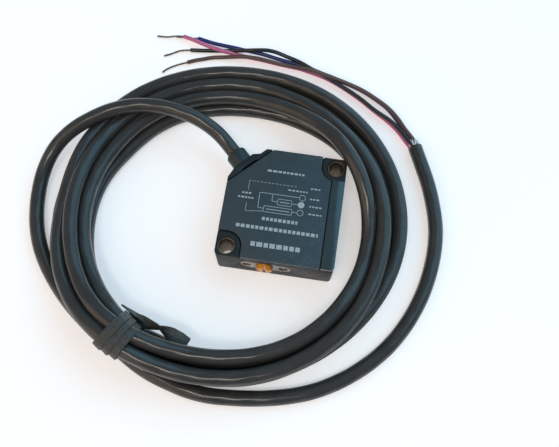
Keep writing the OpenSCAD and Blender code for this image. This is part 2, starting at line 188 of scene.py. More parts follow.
def jacket(name, color, rough=0.2, lay=0.0, warm=None, spec=0.5):
    """Extruded PVC over laid-up cores: long soft flutes, faint draw lines, small scuffs. It needs the tube's UV,
    where U goes once round and V is the length in metres."""
    m = Mat(name)
    uv = m.n("UVMap", uv_map="UVMap").outputs[0]
    sep = m.n("SeparateXYZ")
    m.put(sep.inputs[0], uv)
    u, v = sep.outputs[0], sep.outputs[1]
    ring = m.n("CombineXYZ")   # a seamless point on the tube: (cos u, sin u, length)
    ang = m.math("MULTIPLY", u, 2 * math.pi)
    m.put(ring.inputs[0], m.math("MULTIPLY", m.math("COSINE", ang), 0.0022))
    m.put(ring.inputs[1], m.math("MULTIPLY", m.math("SINE", ang), 0.0022))
    m.put(ring.inputs[2], v)
    p = ring.outputs[0]
    draw = m.noise(1500, 2, 0.5, stretch=(1, 1, 0.02), co=p)
    soft = m.noise(170, 2, 0.5, stretch=(1, 1, 0.9), co=p)
    scuff = m.rng(m.noise(900, 5, 0.7, stretch=(1, 1, 0.35), co=p), 0, 1, 0.56, 0.78)
    col = m.mix(m.rng(soft, 0, 1, 0.3, 0.7), [c * 0.86 for c in color], [min(1, c * 1.12) for c in color])
    col = m.mix(m.math("MULTIPLY", scuff, 0.22), col, [min(1, c * 2.2 + 0.012) for c in color])
    r = m.rng(m.noise(320, 4, 0.6, co=p), rough * 0.8, rough * 1.25, 0.3, 0.7)
    r = m.math("ADD", r, m.math("MULTIPLY", scuff, 0.14))
    nrm = m.bump(draw, 0.22, 0.00003)
    nrm = m.bump(soft, 0.35, 0.00018, nrm)
    if lay:
        flute = m.math("SINE", m.math("ADD", m.math("MULTIPLY", ang, 4.0), m.math("MULTIPLY", v, 2 * math.pi / lay * 4)))
        nrm = m.bump(flute, 0.35, 0.00006, nrm)
    return m.set(color=col, rough=r, normal=nrm, spec=spec)


M = {
    "case": plastic("case_plastic", (0.015, 0.022, 0.024), 0.52, grain=5200, wear=0.3, dust=0.07, spec=0.26),
    "label": plastic("label_plastic", (0.037, 0.057, 0.067), 0.46, grain=6500, depth=0.00002, cv=0.08, wear=0.25, dust=0.08, spec=0.35),
    "boot": plastic("boot_pvc", (0.020, 0.034, 0.037), 0.40, grain=4200, spec=0.4),
    "holder": plastic("lens_holder_plastic", (0.012, 0.012, 0.013), 0.5),
    "white": plastic("rotor_plastic", (0.72, 0.70, 0.62), 0.4),
    "seal": plastic("seal_rubber", (0.012, 0.012, 0.012), 0.55, grain=2600),
    "pot": plastic("pot_plastic", (0.03, 0.09, 0.30), 0.38),
    "ic": plastic("ic_epoxy", (0.016, 0.016, 0.017), 0.55, grain=9000, strength=0.5),
    "chips": plastic("chip_ceramic", (0.34, 0.25, 0.16), 0.4, cv=0.3, mottle=1300),
    "cap": plastic("tantalum_epoxy", (0.62, 0.36, 0.06), 0.35),
    "photo": plastic("photodiode_epoxy", (0.02, 0.016, 0.028), 0.12, strength=0.05),
    "leads": plastic("inner_lead_pvc", (0.20, 0.09, 0.04), 0.3, cv=0.4, mottle=500),
    "sleeve": metal("sleeve_brass", (0.20, 0.155, 0.10), 0.42, brush=(1, 1, 0.15)),
    "clamp": metal("clamp_steel", (0.62, 0.61, 0.58), 0.32, brush=(0.2, 0.2, 1)),
    "gold": metal("pin_gold", (0.83, 0.62, 0.24), 0.25),
}


def board_material():
    m = Mat("board_solder_mask")
    vor = m.n("TexVoronoi", feature="DISTANCE_TO_EDGE")
    m.put(vor.inputs["Vector"], m.co)
    vor.inputs["Scale"].default_value = 620
    track = m.rng(vor.outputs[0], 1, 0, 0.03, 0.09)
    col = m.mix(track, (0.010, 0.085, 0.038), (0.020, 0.16, 0.065))
    col = m.mix(m.rng(m.noise(700, 3), 0, 0.5, 0.35, 0.7), col, (0.006, 0.05, 0.022))
    return m.set(color=col, rough=m.rng(m.noise(1500, 3), 0.22, 0.38), normal=m.bump(track, 0.4, 0.00004), coat=0.3,
                 coat_rough=0.15)


def window_material():
    m = Mat("window_acrylic")
    a = m.noise(350, 3)
    col = m.mix(m.rng(a, 0, 1, 0.3, 0.7), (0.017, 0.040, 0.048), (0.024, 0.052, 0.060))
    scr = m.rng(m.noise(1200, 5, 0.65, stretch=(0.25, 1, 1)), 0, 1, 0.6, 0.8)
    r = m.math("ADD", m.rng(m.noise(700, 3), 0.13, 0.20, 0.3, 0.7), m.math("MULTIPLY", scr, 0.10))
    return m.set(color=col, rough=r, normal=m.bump(m.noise(260, 2), 0.06, 0.0002), spec=0.55, coat=0.35, coat_rough=0.08)


def clear_material(name, color, rough=0.05, sss=0.0, trans=0.7, emit=0.0, swirl=900):
    m = Mat(name)
    a = m.noise(swirl, 4)
    col = m.mix(m.rng(a, 0, 1, 0.3, 0.7), [c * 0.85 for c in color], [min(1, c * 1.12) for c in color])
    r = m.rng(m.noise(1900, 3), rough * 0.7, rough * 1.4 + 0.02, 0.3, 0.7)
    return m.set(color=col, rough=r, trans=trans, ior=1.49, normal=m.bump(m.noise(3200, 2), 0.15, 0.00002),
                 emit=color, emit_s=emit)


def knob_material():
    m = Mat("knob_acetal")
    a = m.noise(600, 4)
    col = m.mix(m.rng(a, 0, 1, 0.3, 0.7), (0.72, 0.27, 0.022), (0.88, 0.40, 0.045))
    grime = m.rng(m.noise(1900, 4, 0.65), 0, 1, 0.58, 0.8)
    col = m.mix(m.math("MULTIPLY", grime, 0.35), col, (0.30, 0.12, 0.02))
    return m.set(color=col, rough=m.rng(m.noise(1500, 3), 0.26, 0.40, 0.3, 0.7), sss=0.25, sss_r=(0.9, 0.45, 0.1),
                 sss_s=0.0008, normal=m.bump(m.noise(5000, 2), 0.2, 0.00002), spec=0.5)


def panel_material():
    m = Mat("indicator_panel")
    sep = m.n("SeparateXYZ")
    m.put(sep.inputs[0], m.co)
    # painted highlight: the panel's left end, fading in below x = -3.2 mm, is mixed toward pale pink to stand in for a
    # glint of light there
    painted_highlight = m.rng(sep.outputs[0], 1, 0, -0.0062, -0.0032)
    a = m.noise(800, 4)
    col = m.mix(m.rng(a, 0, 1, 0.3, 0.7), (0.085, 0.078, 0.068), (0.13, 0.118, 0.10))
    # the painted highlight: up to 65% pale pink over the panel's warm grey at its left end
    col = m.mix(m.math("MULTIPLY", painted_highlight, 0.65), col, (0.30, 0.20, 0.165))
    return m.set(color=col, rough=m.rng(m.noise(1500, 3), 0.22, 0.34, 0.3, 0.7), trans=0.15, ior=1.49, spec=0.5,
                 normal=m.bump(m.noise(4200, 2), 0.15, 0.00002), coat=0.3, coat_rough=0.1)


def ink_material():
    m = Mat("label_ink")
    a = m.noise(2600, 5, 0.7)
    col = m.mix(m.rng(a, 0, 1, 0.35, 0.65), (0.34, 0.40, 0.42), (0.48, 0.54, 0.56))
    return m.set(color=col, rough=m.rng(a, 0.4, 0.6), normal=m.bump(a, 0.3, 0.00001))


def tie_material():
    """Ribbed black PVC strip: fine ribs across the band, in the ribbon's UV (U across 0-1, V in metres)."""
    m = Mat("tie_pvc")
    uv = m.n("UVMap", uv_map="UVMap").outputs[0]
    sep = m.n("SeparateXYZ")
    m.put(sep.inputs[0], uv)
    ribs = m.math("SINE", m.math("MULTIPLY", sep.outputs[0], 2 * math.pi * 7))
    a = m.noise(900, 4, 0.6)
    col = m.mix(m.rng(a, 0, 1, 0.3, 0.7), (0.046, 0.046, 0.041), (0.088, 0.088, 0.079))
    nrm = m.bump(ribs, 0.55, 0.00009)
    nrm = m.bump(m.noise(1300, 4), 0.35, 0.00008, nrm)
    return m.set(color=col, rough=m.rng(m.noise(800, 4), 0.38, 0.58, 0.3, 0.7), normal=nrm, spec=0.45)


def strand_material():
    m = Mat("tinned_copper")
    uv = m.n("UVMap", uv_map="UVMap").outputs[0]
    sep = m.n("SeparateXYZ")
    m.put(sep.inputs[0], uv)
    a = m.noise(1500, 4)
    col = m.mix(m.rng(a, 0, 1, 0.35, 0.65), (0.12, 0.10, 0.09), (0.34, 0.26, 0.21))
    return m.set(color=col, rough=m.rng(m.noise(3000, 3), 0.28, 0.45), metal=1.0,
                 normal=m.bump(m.noise(6000, 3), 0.3, 0.00002))


def filler_material():
    m = Mat("cotton_filler")
    a = m.noise(2200, 5, 0.7, stretch=(1, 1, 0.4))
    col = m.mix(m.rng(a, 0, 1, 0.3, 0.7), (0.74, 0.77, 0.82), (0.95, 0.96, 0.98))
    return m.set(color=col, rough=0.85, normal=m.bump(a, 0.8, 0.0001), sheen=0.3)


M["board"] = board_material()
M["window"] = window_material()
M["lens"] = clear_material("lens_acrylic", (0.86, 0.90, 0.92), 0.04, trans=0.95)
M["led_clear"] = clear_material("emitter_epoxy", (0.50, 0.45, 0.62), 0.08, trans=0.6)
M["lamp_red"] = clear_material("lamp_red_epoxy", (0.16, 0.030, 0.022), 0.12, trans=0.25)
M["lamp_green"] = clear_material("lamp_green_epoxy", (0.30, 0.36, 0.20), 0.12, trans=0.35)
M["knob"] = knob_material()
M["panel"] = panel_material()
M["ink"] = ink_material()
M["tie"] = tie_material()
M["strand"] = strand_material()
M["filler"] = filler_material()
M["cable"] = jacket("cable_pvc", (0.043, 0.043, 0.041), 0.20, lay=0.034, spec=0.45)
M["core_pink"] = jacket("core_pink_pvc", (0.62, 0.17, 0.34), 0.30)
M["core_black"] = jacket("core_black_pvc", (0.020, 0.022, 0.026), 0.28)
M["core_blue"] = jacket("core_blue_pvc", (0.012, 0.030, 0.17), 0.28)
M["core_brown"] = jacket("core_brown_pvc", (0.125, 0.072, 0.062), 0.30)


# ------------------------------------------------------------ mesh helpers
def link(name, mesh, mat=None):
    o = bpy.data.objects.new(name, mesh)
    scene.collection.objects.link(o)
    if mat is not None:
        mesh.materials.clear()
        mesh.materials.append(mat)
    return o


def smooth(mesh):
    mesh.polygons.foreach_set("use_smooth", np.ones(len(mesh.polygons), bool))


def spline(points, per):
    """Points along a centripetal Catmull-Rom spline through the given points."""
    p = np.array(points, float)
    q = np.vstack([2 * p[0] - p[1], p, 2 * p[-1] - p[-2]])
    out = []
    for i in range(1, len(q) - 2):
        p0, p1, p2, p3 = q[i - 1:i + 3]
        t1 = np.linalg.norm(p1 - p0) ** 0.5
        t2 = t1 + np.linalg.norm(p2 - p1) ** 0.5
        t3 = t2 + np.linalg.norm(p3 - p2) ** 0.5
        for t in np.linspace(t1, t2, per, endpoint=False):
            a1 = (t1 - t) / t1 * p0 + t / t1 * p1
            a2 = (t2 - t) / (t2 - t1) * p1 + (t - t1) / (t2 - t1) * p2
            a3 = (t3 - t) / (t3 - t2) * p2 + (t - t2) / (t3 - t2) * p3
            b1 = (t2 - t) / t2 * a1 + t / t2 * a2
            b2 = (t3 - t) / (t3 - t1) * a2 + (t - t1) / (t3 - t1) * a3
            out.append((t2 - t) / (t2 - t1) * b1 + (t - t1) / (t2 - t1) * b2)
    out.append(q[-2])
    return np.array(out)


def respace(line, step):
    along = np.concatenate([[0], np.cumsum(np.linalg.norm(np.diff(line, axis=0), axis=1))])
    at = np.linspace(0, along[-1], max(2, math.ceil(along[-1] / step) + 1))
    return np.stack([np.interp(at, along, line[:, k]) for k in range(3)], axis=1)


def soften(line, times):
    line = line.copy()
    for _ in range(times):
        line[1:-1] = 0.25 * line[:-2] + 0.5 * line[1:-1] + 0.25 * line[2:]
    return line


def frames(line):
    """Unit tangents and a steady pair of side directions along a line."""
    t = np.gradient(line, axis=0)
    t /= np.linalg.norm(t, axis=1)[:, None]
    a = np.cross(t[0], [0, 0, 1.0])
    if np.linalg.norm(a) < 1e-6:
        a = np.cross(t[0], [0, 1.0, 0])
    a /= np.linalg.norm(a)
    side = [a]
    for i in range(1, len(line)):
        a = a - t[i] * (a @ t[i])
        a /= np.linalg.norm(a)
        side.append(a)
    side = np.array(side)
    return t, side, np.cross(t, side)


def tube(name, line, radius, mat, sides=24, ends=((0.62, 0.0006), (0.62, 0.0006)), shape=None, caps=True):
    """A closed tube round a line in metres. Its ends are cut flat, with the wall and the hollow it leaves round the
    cores: ends gives, for each end, the inner radius's share and how deep the hollow is. shape(i, angle) scales."""
    t, a, b = frames(line)
    n = len(line)
    th = 2 * np.pi * np.arange(sides) / sides
    r = np.full((n, sides), radius)
    if shape is not None:
        r = r * shape(np.arange(n)[:, None], th[None, :])
    ring = line[:, None, :] + r[..., None] * (np.cos(th)[None, :, None] * a[:, None, :] + np.sin(th)[None, :, None] * b[:, None, :])
    bm = bmesh.new()
    vs = [[bm.verts.new(ring[i, k]) for k in range(sides)] for i in range(n)]
    uv = bm.loops.layers.uv.new("UVMap")
    dist = np.concatenate([[0], np.cumsum(np.linalg.norm(np.diff(line, axis=0), axis=1))])
    for i in range(n - 1):
        for k in range(sides):
            k2 = (k + 1) % sides
            f = bm.faces.new((vs[i][k], vs[i][k2], vs[i + 1][k2], vs[i + 1][k]))
            f.smooth = True
            for loop, (uu, vv) in zip(f.loops, ((k, i), (k + 1, i), (k + 1, i + 1), (k, i + 1))):
                loop[uv].uv = (uu / sides, dist[vv])
    if caps:
        for end, (i, sgn) in zip(ends, ((0, -1), (n - 1, 1))):
            share, deep = end
            c, out = line[i], t[i] * sgn
            edge = [bm.verts.new(c + 0.93 * (ring[i, k] - c) + out * radius * 0.05) for k in range(sides)]
            lip = [bm.verts.new(c + share * (ring[i, k] - c) + out * radius * 0.05) for k in range(sides)]
            low = [bm.verts.new(c + share * (ring[i, k] - c) - out * deep) for k in range(sides)]
            for p, q, flat in ((vs[i], edge, False), (edge, lip, False), (lip, low, False)):
                for k in range(sides):
                    k2 = (k + 1) % sides
                    order = (p[k2], p[k], q[k], q[k2]) if sgn < 0 else (p[k], p[k2], q[k2], q[k])
                    f = bm.faces.new(order)
                    f.smooth = flat
                    for loop, uu in zip(f.loops, ((k + 1, k, k, k + 1) if sgn < 0 else (k, k + 1, k + 1, k))):
                        loop[uv].uv = (uu / sides, dist[i])
            f = bm.faces.new(low[::-1] if sgn < 0 else low)
    bmesh.ops.recalc_face_normals(bm, faces=bm.faces)
    me = bpy.data.meshes.new(name)
    bm.to_mesh(me)
    bm.free()
    return link(name, me, mat)


def shell(node, name, mat, width=0.25, segments=3, angle=32, body="sensor"):
    """A copy of a CAD node's mesh with its flat faces merged and its edges rounded, standing for the node."""
    src = nodes[node]
    me = src.data.copy()
    me.name = name
    bm = bmesh.new()
    bm.from_mesh(me)
    bmesh.ops.remove_doubles(bm, verts=bm.verts, dist=1e-6)
    bmesh.ops.dissolve_limit(bm, angle_limit=math.radians(0.6), verts=bm.verts, edges=bm.edges)
    for f in bm.faces:
        f.smooth = True
    bm.to_mesh(me)
    bm.free()
    o = link(name, me, mat)
    bev = o.modifiers.new("edges", "BEVEL")
    bev.width = width * MM
    bev.segments = segments
    bev.limit_method = "ANGLE"
    bev.angle_limit = math.radians(angle)
    bev.harden_normals = True
    bev.use_clamp_overlap = True
    bev.miter_outer = "MITER_ARC"
    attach(o, body)
    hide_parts(node)
    return o


# ---------------------------------------------------------------- the lead
D = 4.4                                  # jacket diameter, mm
HUB = np.array([-15.3, -3.2])            # middle of the coil
TIE = 238.5                              # where round the coil the tie sits
STEP = 5.0                               # degrees between stations
PER = 72
START = [(-9.5, 9.5, 6.5), (-12, 12, 6.5), (-14, 14, 6.5), (-16.3, 16.3, 6.5), (-18.8, 18.7, 6.8), (-21.3, 20.9, 7.7),
         (-23.9, 22.6, 8.7), (-26.9, 23.9, 9.8), (-30.4, 25.1, 10.7), (-34.9, 26.1, 11.3), (-41.6, 26.7, 11.6),
         (-48.1, 26.1, 11.6), (-54.5, 24.2, 11.2), (-60.6, 21, 10.2), (-66.8, 16.6, 8.4), (-71.5, 11.2, 6),
         (-74.1, 3.6, 3.6), (-74.1, -4.5, 2.4), (-72.4, -12.6, 2.2), (-69.1, -20.3, 2.2), (-63.9, -27.5, 2.4),
         (-57, -34.3, 4.0), (-50, -39.6, 6.4)]
END = [(-31.5, -50.3, 2.2), (-23.4, -52.9, 2.2), (-15, -54.5, 2.2), (-6, -54.2, 2.2), (5, -52.6, 2.2), (16, -49.2, 2.2),
       (26.5, -42.8, 2.2), (35.5, -33.8, 2.2), (42, -22.4, 2.2), (45.6, -10, 2.2), (46.3, 3, 2.2), (43.2, 16.5, 2.2),
       (40.6, 23, 2.2), (37.8, 29.5, 2.2)]
# The bundle's section at stations round the coil: lane -> (distance from the hub, height), in mm.
LANES = ("L1", "L2", "L3", "L4", "U1", "U2")
SECTION = {
    -97.5: ((42.5, 2.2), (42.8, 6.5), (46.9, 2.2), (47.2, 6.5), (47.6, 10.8), (42.3, 10.7)),
    -82: ((42.3, 2.2), (42.5, 6.5), (46.8, 2.2), (47.0, 6.5), (47.5, 10.8), (42.0, 10.7)),
    -55: ((42.4, 2.2), (42.6, 6.5), (46.9, 2.2), (47.2, 6.5), (47.4, 10.8), (42.4, 10.7)),
    -37: ((42.5, 2.2), (42.9, 6.5), (47.0, 2.2), (47.9, 6.4), (47.0, 10.6), (42.3, 10.6)),
    -20: ((43.0, 2.2), (44.6, 6.4), (47.6, 2.2), (49.2, 6.2), (46.2, 10.5), (41.8, 9.8)),
    0: ((43.8, 2.2), (46.2, 6.2), (48.4, 2.2), (50.4, 6.3), (44.8, 10.4), (41.4, 8.4)),
    10: ((43.6, 2.2), (46.2, 6.3), (48.4, 2.2), (50.6, 6.4), (44.9, 10.5), (40.9, 11.8)),
    32: ((43.2, 2.2), (45.9, 6.2), (48.2, 2.2), (50.3, 6.4), (43.8, 10.0), (38.6, 15.5)),
    48: ((41.8, 2.2), (45.4, 5.0), (48.0, 2.2), (49.8, 6.3), (43.2, 9.0), (38.9, 12.5)),
    64: ((39.8, 2.2), (43.8, 3.0), (47.6, 2.2), (48.9, 6.3), (42.9, 7.3), (39.0, 9.0)),
    96: ((37.5, 2.2), (41.8, 2.2), (46.2, 2.2), (48.3, 6.0), (44.0, 6.0), (39.7, 6.0)),
    125: ((38.9, 2.2), (43.1, 2.2), (47.4, 2.2), (49.5, 6.0), (45.2, 6.0), (41.0, 6.0)),
    150: ((40.0, 2.2), (44.4, 2.2), (48.7, 2.2), (50.2, 6.2), (46.0, 6.4), (42.0, 6.0)),
    165: ((41.3, 2.2), (45.5, 2.2), (49.7, 2.2), (49.7, 6.4), (45.6, 8.6), (42.4, 6.1)),
    181: ((42.6, 2.2), (46.7, 2.2), (50.8, 2.2), (48.9, 6.4), (45.4, 9.4), (42.8, 6.4)),
    210: ((44.8, 2.2), (46.9, 5.8), (49.2, 2.2), (49.8, 8.2), (45.9, 10.2), (43.7, 7.0)),
    226: ((45.4, 3.4), (47.6, 7.0), (49.4, 2.6), (49.6, 11.0), (45.9, 12.4), (44.4, 8.0)),
}
# Seven passes packed under the tie; the lead comes in at e and goes out at b.
UNDER_TIE = dict(a=(44.4, 13.7), b=(48.9, 5.5), c=(44.4, 5.5), d=(46.7, 2.2), e=(48.9, 9.6), f=(44.4, 9.6), g=(48.9, 13.7))


def lead_order():
    """The order in which the lead runs through the lanes, with the least crossing under the tie."""
    def cost(slot, pos):
        return (UNDER_TIE[slot][0] - pos[0]) ** 2 + (UNDER_TIE[slot][1] - pos[1]) ** 2
    first, last = dict(zip(LANES, SECTION[-97.5])), dict(zip(LANES, SECTION[226]))
    ins = sorted(((sum(cost(s, first[l]) for s, l in zip("eacdfg", p)), i, dict(zip("eacdfg", p)))
                  for i, p in enumerate(itertools.permutations(LANES))), key=lambda x: x[:2])[:120]
    outs = sorted(((sum(cost(s, last[l]) for s, l in zip("abcdfg", p)), i, dict(zip(p, "abcdfg")))
                   for i, p in enumerate(itertools.permutations(LANES))), key=lambda x: x[:2])[:120]
    best = None
    for c1, _, to_lane in ins:
        for c2, _, to_slot in outs:
            if best is not None and c1 + c2 >= best[0]:
                continue
            slot, order = "e", []
            while slot != "b" and len(order) < 7:
                lane = to_lane[slot]
                order.append((slot, lane))
                slot = to_slot[lane]
            if len(order) == 6:
                best = (c1 + c2, order)
    return best[1]


def monotone(x, y, at):
    """Cubic through the points that doesn't overshoot them."""
    x, y = np.asarray(x, float), np.asarray(y, float)
    h = np.diff(x)
    d = np.diff(y) / h
    m = np.zeros(len(x))
    for i in range(1, len(x) - 1):
        if d[i - 1] * d[i] > 0:
            w1, w2 = 2 * h[i] + h[i - 1], h[i] + 2 * h[i - 1]
            m[i] = (w1 + w2) / (w1 / d[i - 1] + w2 / d[i])
    m[0], m[-1] = d[0], d[-1]
    k = np.clip(np.searchsorted(x, at) - 1, 0, len(x) - 2)
    t = (at - x[k]) / h[k]
    return ((1 + 2 * t) * (1 - t) ** 2 * y[k] + t * (1 - t) ** 2 * h[k] * m[k]
            + t * t * (3 - 2 * t) * y[k + 1] + t * t * (t - 1) * h[k] * m[k + 1])


def at_angle(r, z, degrees):
    a = math.radians(degrees)
    return (HUB[0] + r * math.cos(a), HUB[1] + r * math.sin(a), z)


def wind():
    """The six turns: each follows its lane, then the turns are settled against each other, the floor, the case's
    corner and the two ends of the lead."""
    order = lead_order()
    keys = sorted(SECTION)
    a = -121.5 + np.arange(PER) * STEP
    turns = []
    for i, (slot, lane) in enumerate(order):
        after = order[i + 1][0] if i < 5 else "b"
        x = [-121.5] + keys + [238.5]
        y = [UNDER_TIE[slot]] + [SECTION[k][LANES.index(lane)] for k in keys] + [UNDER_TIE[after]]
        turns.append(np.stack([monotone(x, [v[0] for v in y], a), monotone(x, [v[1] for v in y], a)], 1))
    goal = np.concatenate(turns + [np.array([UNDER_TIE["b"]])])
    p = goal.copy()
    lead_in = spline(START + [at_angle(*UNDER_TIE["e"], TIE)], 40)
    lead_out = spline([at_angle(*UNDER_TIE["b"], TIE), at_angle(49.3, 3.0, TIE + 7)] + END, 40)
    fixed = [[] for _ in range(PER)]
    for line in (lead_in, lead_out):
        d = line[:, :2] - HUB
        ang, rad = np.degrees(np.arctan2(d[:, 1], d[:, 0])), np.hypot(d[:, 0], d[:, 1])
        for i in range(PER):
            off = (ang - (-121.5 + i * STEP) + 180) % 360 - 180
            for j in np.flatnonzero((off[:-1] * off[1:] <= 0) & (np.abs(off[:-1]) < 20)):
                if 30 < rad[j] < 60:
                    fixed[i].append(np.array([rad[j], line[j, 2]]))
    wall = []
    for i in range(PER):
        u = np.array([math.cos(math.radians(-121.5 + i * STEP)), math.sin(math.radians(-121.5 + i * STEP))])
        r = np.arange(25, 45, 0.05)
        q = HUB[None, :] + r[:, None] * u[None, :]
        hit = (np.abs(q[:, 0]) <= 17.05) & (np.abs(q[:, 1]) <= 17.05)
        wall.append(float(r[hit].max()) if hit.any() else 0.0)
    rounds = 500
    for it in range(rounds):
        late = it >= rounds * 0.7
        if not late:
            p += 0.06 * (goal - p)
            p[:, 1] -= 0.01
        even = p.copy()
        even[2:-2] = (-p[:-4] + 4 * p[1:-3] + 4 * p[3:-1] - p[4:]) / 6
        p[2:-2] += (0.15 if late else 0.35) * (even[2:-2] - p[2:-2])
        p[0], p[-1] = goal[0], goal[-1]
        for i in range(PER):
            gap = D * (0.92 if i == 0 else 0.95 if i in (1, 2, PER - 2, PER - 1) else 0.985)     # the tie squeezes the soft jackets
            idx = [i + k * PER for k in range(6)] + ([6 * PER] if i == 0 else [])
            for _ in range(2):
                for x in range(len(idx)):
                    for y in range(x + 1, len(idx)):
                        d = p[idx[y]] - p[idx[x]]
                        long = math.hypot(*d)
                        if long < gap:
                            if long < 1e-6:
                                d, long = np.array([0, 1.0]), 1.0
                            push = d / long * (gap - long) / 2 * 0.8
                            p[idx[y]] += push
                            p[idx[x]] -= push
                    if i:
                        for f in fixed[i]:
                            d = p[idx[x]] - f
                            long = math.hypot(*d)
                            if 1e-3 < long < D * 0.99:
                                p[idx[x]] += d / long * (D * 0.99 - long) * 0.8
                    if wall[i]:
                        q = p[idx[x]]
                        w = q[0] - wall[i]
                        if q[1] < 13 and w < D / 2:
                            if 15.2 - q[1] < D / 2 - w:
                                q[1] = 15.25
                            else:
                                q[0] = wall[i] + D / 2
                        elif w < D / 2:
                            if w <= 0:
                                q[1] = max(q[1], 15.25)
                            else:
                                long = math.hypot(w, q[1] - 13)
                                if long < D / 2 + 0.05:
                                    p[idx[x]] = (np.array([wall[i], 13.0]) + np.array([w, q[1] - 13])
                                                 / max(long, 1e-6) * (D / 2 + 0.05))
            p[idx, 1] = np.maximum(p[idx, 1], D / 2)
    ang = np.radians(-121.5 + np.arange(len(p)) * STEP)
    coil = np.stack([HUB[0] + p[:, 0] * np.cos(ang), HUB[1] + p[:, 0] * np.sin(ang), p[:, 1]], 1)
    return coil


coil = wind()
route = np.vstack([np.array(START), coil, [at_angle(49.3, 3.0, TIE + 7)], np.array(END)])
lead_line = soften(respace(spline(route, 6), 1.1), 6)
lead_line[:, 2] = np.maximum(lead_line[:, 2], D / 2)
lead_line = respace(lead_line, 1.25) * MM


def lumpy(i, th):
    # four cores laid up inside push the jacket out a little, and it was never perfectly round
    s = i * 1.25
    return (1 + 0.003 * np.cos(4 * (th + 2 * np.pi * s / 36.0)) + 0.006 * np.cos(2 * th + 0.05 * s)
            + 0.003 * np.sin(s * 0.21) * np.cos(th + 1.3))


lead = tube("lead_jacket", lead_line, D / 2 * MM, M["cable"], sides=28, shape=lumpy)
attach(lead, "sensor")
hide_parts("cable_start", "cable_coil", "cable_end")

CORES = {
    "pink": [(36.9, 29, 1.5), (34, 32.7, 1), (32, 35.1, 0.7), (29.1, 37.6, 0.7), (23.8, 41.1, 0.7), (19.8, 43.9, 0.7),
             (15.8, 46.3, 0.7), (10.9, 48.9, 0.7), (6.5, 50.7, 0.7), (2, 51.9, 0.7), (-1.7, 52.7, 0.7), (-5.7, 53.1, 0.7),
             (-9, 53.4, 0.7), (-14.7, 54.1, 0.7), (-20.3, 54.5, 0.8), (-25.3, 54.7, 1.6), (-28.7, 54.9, 2.2),
             (-32.2, 55.7, 2), (-35.8, 57, 1.6), (-38.8, 58, 1.4), (-41.6, 58.8, 1.2)],
    "black": [(37.3, 29.3, 2.9), (34.5, 32.5, 2.4), (32.8, 34.7, 2), (29.5, 37.5, 2), (23.9, 40.7, 2), (19.9, 43.5, 2), (15.9, 45.9, 2),
              (11, 48.4, 2), (6.5, 50.6, 2), (1.9, 52.6, 2), (-2, 54.5, 1.9), (-6.7, 56, 1.8), (-10.1, 56.8, 2.2),
              (-12.9, 56.9, 2.6), (-16.1, 56.3, 2.9), (-19.3, 55.7, 2.9), (-22.7, 55.5, 2.3), (-27.2, 55.6, 0.9),
              (-31.6, 55.1, 0.7), (-35.5, 54.6, 0.7), (-38.5, 54.3, 0.7)],
    "blue": [(38.7, 29.9, 1.5), (35.8, 33.6, 0.9), (34, 35.6, 0.7), (31.3, 39.1, 0.7), (28.2, 42.4, 0.7),
             (23.8, 45.3, 0.7), (19.9, 47.4, 0.7), (15.5, 49.1, 0.7), (10.6, 50.6, 0.7), (6.3, 52, 0.7), (1.9, 53.3, 0.7),
             (-1.9, 54.2, 0.7), (-6.4, 54.8, 0.7), (-10.4, 55.5, 0.7), (-13.9, 56.1, 0.9), (-17.8, 56.4, 1.2),
             (-21.2, 56.7, 1.2), (-24, 57.1, 1.1), (-27.5, 57.5, 0.9), (-32, 58.1, 0.7), (-36.8, 59.1, 0.7)],
    "brown": [(38.4, 29.8, 2.9), (36.1, 33, 2.5), (34.3, 35.2, 2.1), (31.5, 38.9, 2), (28.3, 42, 2), (23.9, 44.8, 2),
              (20, 46.9, 2), (15.6, 48.5, 2.1), (10.8, 49.6, 2.6), (6.4, 50.4, 3.3), (2.1, 51.3, 3.2), (-1.7, 52, 2.4),
              (-5.6, 52.5, 2), (-9, 52.8, 2), (-14.6, 53.6, 2), (-17.4, 53.8, 2), (-20.2, 53.7, 2), (-22.9, 53.5, 1.7),
              (-26.8, 53.2, 0.9), (-31.1, 52.5, 0.7), (-33.8, 51.5, 0.7), (-36.4, 50.6, 0.7), (-38.7, 49.5, 0.7)],
}
BARE = {
    "pink": [(-41.6, 58.8, 1.2), (-44.4, 58.6, 1.0), (-47, 58.1, 0.7), (-51.1, 58, 0.5)],
    "black": [(-38.5, 54.3, 0.7), (-42, 53.5, 0.6), (-45, 51.8, 0.5), (-47.3, 50.6, 0.6)],
    "blue": [(-36.8, 59.1, 0.7), (-39.3, 59, 0.4), (-42, 59, 0.35), (-44.8, 58.8, 0.4)],
    "brown": [(-38.7, 49.5, 0.7), (-39.8, 49.1, 0.6), (-42.5, 47.8, 0.5), (-45, 46, 0.5), (-46.4, 44.2, 0.6)],
}


